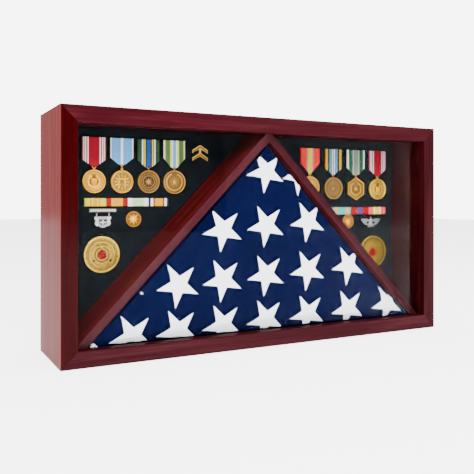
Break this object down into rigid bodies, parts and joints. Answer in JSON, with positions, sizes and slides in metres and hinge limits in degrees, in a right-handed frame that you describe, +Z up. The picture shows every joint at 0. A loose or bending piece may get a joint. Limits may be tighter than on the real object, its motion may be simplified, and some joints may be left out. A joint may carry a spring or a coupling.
{
  "type": "folded flag display case",
  "caption": "Rectangular wooden shadow box with a glass front, a triangular middle for a folded flag, and a velvet medal board on each side.",
  "frame": {"origin": "bottom centre of the whole case, on the surface it stands on", "axes": "+X to the right across the front, +Y from the glass front to the back panel, +Z up"},
  "size_m": [0.7, 0.1502, 0.376],
  "materials": {
    "case_wood": "satin dark cherry lacquer",
    "bare_wood": "bare softwood",
    "hardboard": "bare hardboard",
    "back_board": "brown hardboard",
    "velvet": "black velvet",
    "flag_cloth": "woven cotton, blue with white stars",
    "ribbon_silk": "ribbed moire ribbon",
    "glass": "clear polished",
    "gold_metal": "gold plated, satin",
    "bronze_metal": "antique bronze",
    "silver_metal": "oxidised silver",
    "brass_hardware": "brass plated",
    "zinc_hardware": "zinc plated"
  },
  "bodies": {
    "case": {"top_board": "case_wood", "bottom_board": "case_wood", "left_board": "case_wood", "right_board": "case_wood", "mitre_splines": "bare_wood", "glass_pane": "glass", "glass_stops": "case_wood", "left_divider": "case_wood", "right_divider": "case_wood", "left_medal_board": "hardboard", "right_medal_board": "hardboard", "left_velvet": "velvet", "right_velvet": "velvet", "board_cleats": "bare_wood", "folded_flag": "flag_cloth", "back_screws": "zinc_hardware", "left_hanger_strap": "zinc_hardware", "right_hanger_strap": "zinc_hardware", "medal_brooches": "gold_metal", "pin_clutches": "gold_metal", "left_ribbon_bar": "ribbon_silk", "right_ribbon_bar": "ribbon_silk", "chevron_pin": "gold_metal", "badge_bar": "silver_metal", "emblem_pins": "gold_metal", "wing_badge": "silver_metal", "left_coin": "gold_metal", "right_coin": "gold_metal", "medal_1_ribbon": "ribbon_silk", "medal_2_ribbon": "ribbon_silk", "medal_3_ribbon": "ribbon_silk", "medal_4_ribbon": "ribbon_silk", "medal_5_ribbon": "ribbon_silk", "medal_6_ribbon": "ribbon_silk", "medal_7_ribbon": "ribbon_silk", "medal_8_ribbon": "ribbon_silk"},
    "back_panel": {"back_panel": "back_board"},
    "turn_button_1": {"turn_button_1": "brass_hardware"},
    "turn_button_2": {"turn_button_2": "brass_hardware"},
    "turn_button_3": {"turn_button_3": "brass_hardware"},
    "turn_button_4": {"turn_button_4": "brass_hardware"},
    "left_hanger_ring": {"left_hanger_ring": "zinc_hardware"},
    "right_hanger_ring": {"right_hanger_ring": "zinc_hardware"},
    "medal_1": {"medal_1_ring": "gold_metal", "medal_1_pendant": "gold_metal"},
    "medal_2": {"medal_2_ring": "gold_metal", "medal_2_pendant": "gold_metal"},
    "medal_3": {"medal_3_ring": "bronze_metal", "medal_3_pendant": "bronze_metal"},
    "medal_4": {"medal_4_ring": "bronze_metal", "medal_4_pendant": "bronze_metal"},
    "medal_5": {"medal_5_ring": "gold_metal", "medal_5_pendant": "gold_metal"},
    "medal_6": {"medal_6_ring": "bronze_metal", "medal_6_pendant": "bronze_metal"},
    "medal_7": {"medal_7_ring": "gold_metal", "medal_7_pendant": "gold_metal"},
    "medal_8": {"medal_8_ring": "gold_metal", "medal_8_pendant": "gold_metal"},
    "badge_pendant": {"badge_pendant": "silver_metal"}
  },
  "joints": [
    {"name": "back_panel_slide", "type": "slide", "parent": "case", "child": "back_panel", "axis": [0, 1, 0], "range_m": [0, 0.12]},
    {"name": "turn_button_1_pivot", "type": "hinge", "parent": "case", "child": "turn_button_1", "pos_m": [-0.19, 0.07092, 0.3695], "axis": [0, 1, 0], "range_deg": [0, 90]},
    {"name": "turn_button_2_pivot", "type": "hinge", "parent": "case", "child": "turn_button_2", "pos_m": [0.19, 0.07092, 0.3695], "axis": [0, 1, 0], "range_deg": [0, 90]},
    {"name": "turn_button_3_pivot", "type": "hinge", "parent": "case", "child": "turn_button_3", "pos_m": [-0.19, 0.07092, 0.0065], "axis": [0, -1, 0], "range_deg": [0, 90]},
    {"name": "turn_button_4_pivot", "type": "hinge", "parent": "case", "child": "turn_button_4", "pos_m": [0.19, 0.07092, 0.0065], "axis": [0, -1, 0], "range_deg": [0, 90]},
    {"name": "left_hanger_pivot", "type": "hinge", "parent": "case", "child": "left_hanger_ring", "pos_m": [-0.3435, 0.073, 0.306], "axis": [1, 0, 0], "range_deg": [0, 180]},
    {"name": "right_hanger_pivot", "type": "hinge", "parent": "case", "child": "right_hanger_ring", "pos_m": [0.3435, 0.073, 0.306], "axis": [1, 0, 0], "range_deg": [0, 180]},
    {"name": "medal_1_swing", "type": "hinge", "parent": "case", "child": "medal_1", "pos_m": [-0.277, 0.02052, 0.2935], "axis": [0, 1, 0], "range_deg": [-14, 14]},
    {"name": "medal_2_swing", "type": "hinge", "parent": "case", "child": "medal_2", "pos_m": [-0.2315, 0.02052, 0.2985], "axis": [0, 1, 0], "range_deg": [-14, 14]},
    {"name": "medal_3_swing", "type": "hinge", "parent": "case", "child": "medal_3", "pos_m": [-0.186, 0.02052, 0.2955], "axis": [0, 1, 0], "range_deg": [-14, 14]},
    {"name": "medal_4_swing", "type": "hinge", "parent": "case", "child": "medal_4", "pos_m": [-0.1405, 0.02052, 0.2955], "axis": [0, 1, 0], "range_deg": [-14, 14]},
    {"name": "medal_5_swing", "type": "hinge", "parent": "case", "child": "medal_5", "pos_m": [0.132, 0.02052, 0.291], "axis": [0, 1, 0], "range_deg": [-14, 14]},
    {"name": "medal_6_swing", "type": "hinge", "parent": "case", "child": "medal_6", "pos_m": [0.1854, 0.02052, 0.29], "axis": [0, 1, 0], "range_deg": [-14, 14]},
    {"name": "medal_7_swing", "type": "hinge", "parent": "case", "child": "medal_7", "pos_m": [0.2388, 0.02052, 0.291], "axis": [0, 1, 0], "range_deg": [-14, 14]},
    {"name": "medal_8_swing", "type": "hinge", "parent": "case", "child": "medal_8", "pos_m": [0.2922, 0.02052, 0.288], "axis": [0, 1, 0], "range_deg": [-14, 14]},
    {"name": "badge_pendant_swing", "type": "hinge", "parent": "case", "child": "badge_pendant", "pos_m": [-0.2627, 0.02052, 0.2182], "axis": [-1, 0, 0], "range_deg": [0, 60]}
  ]
}
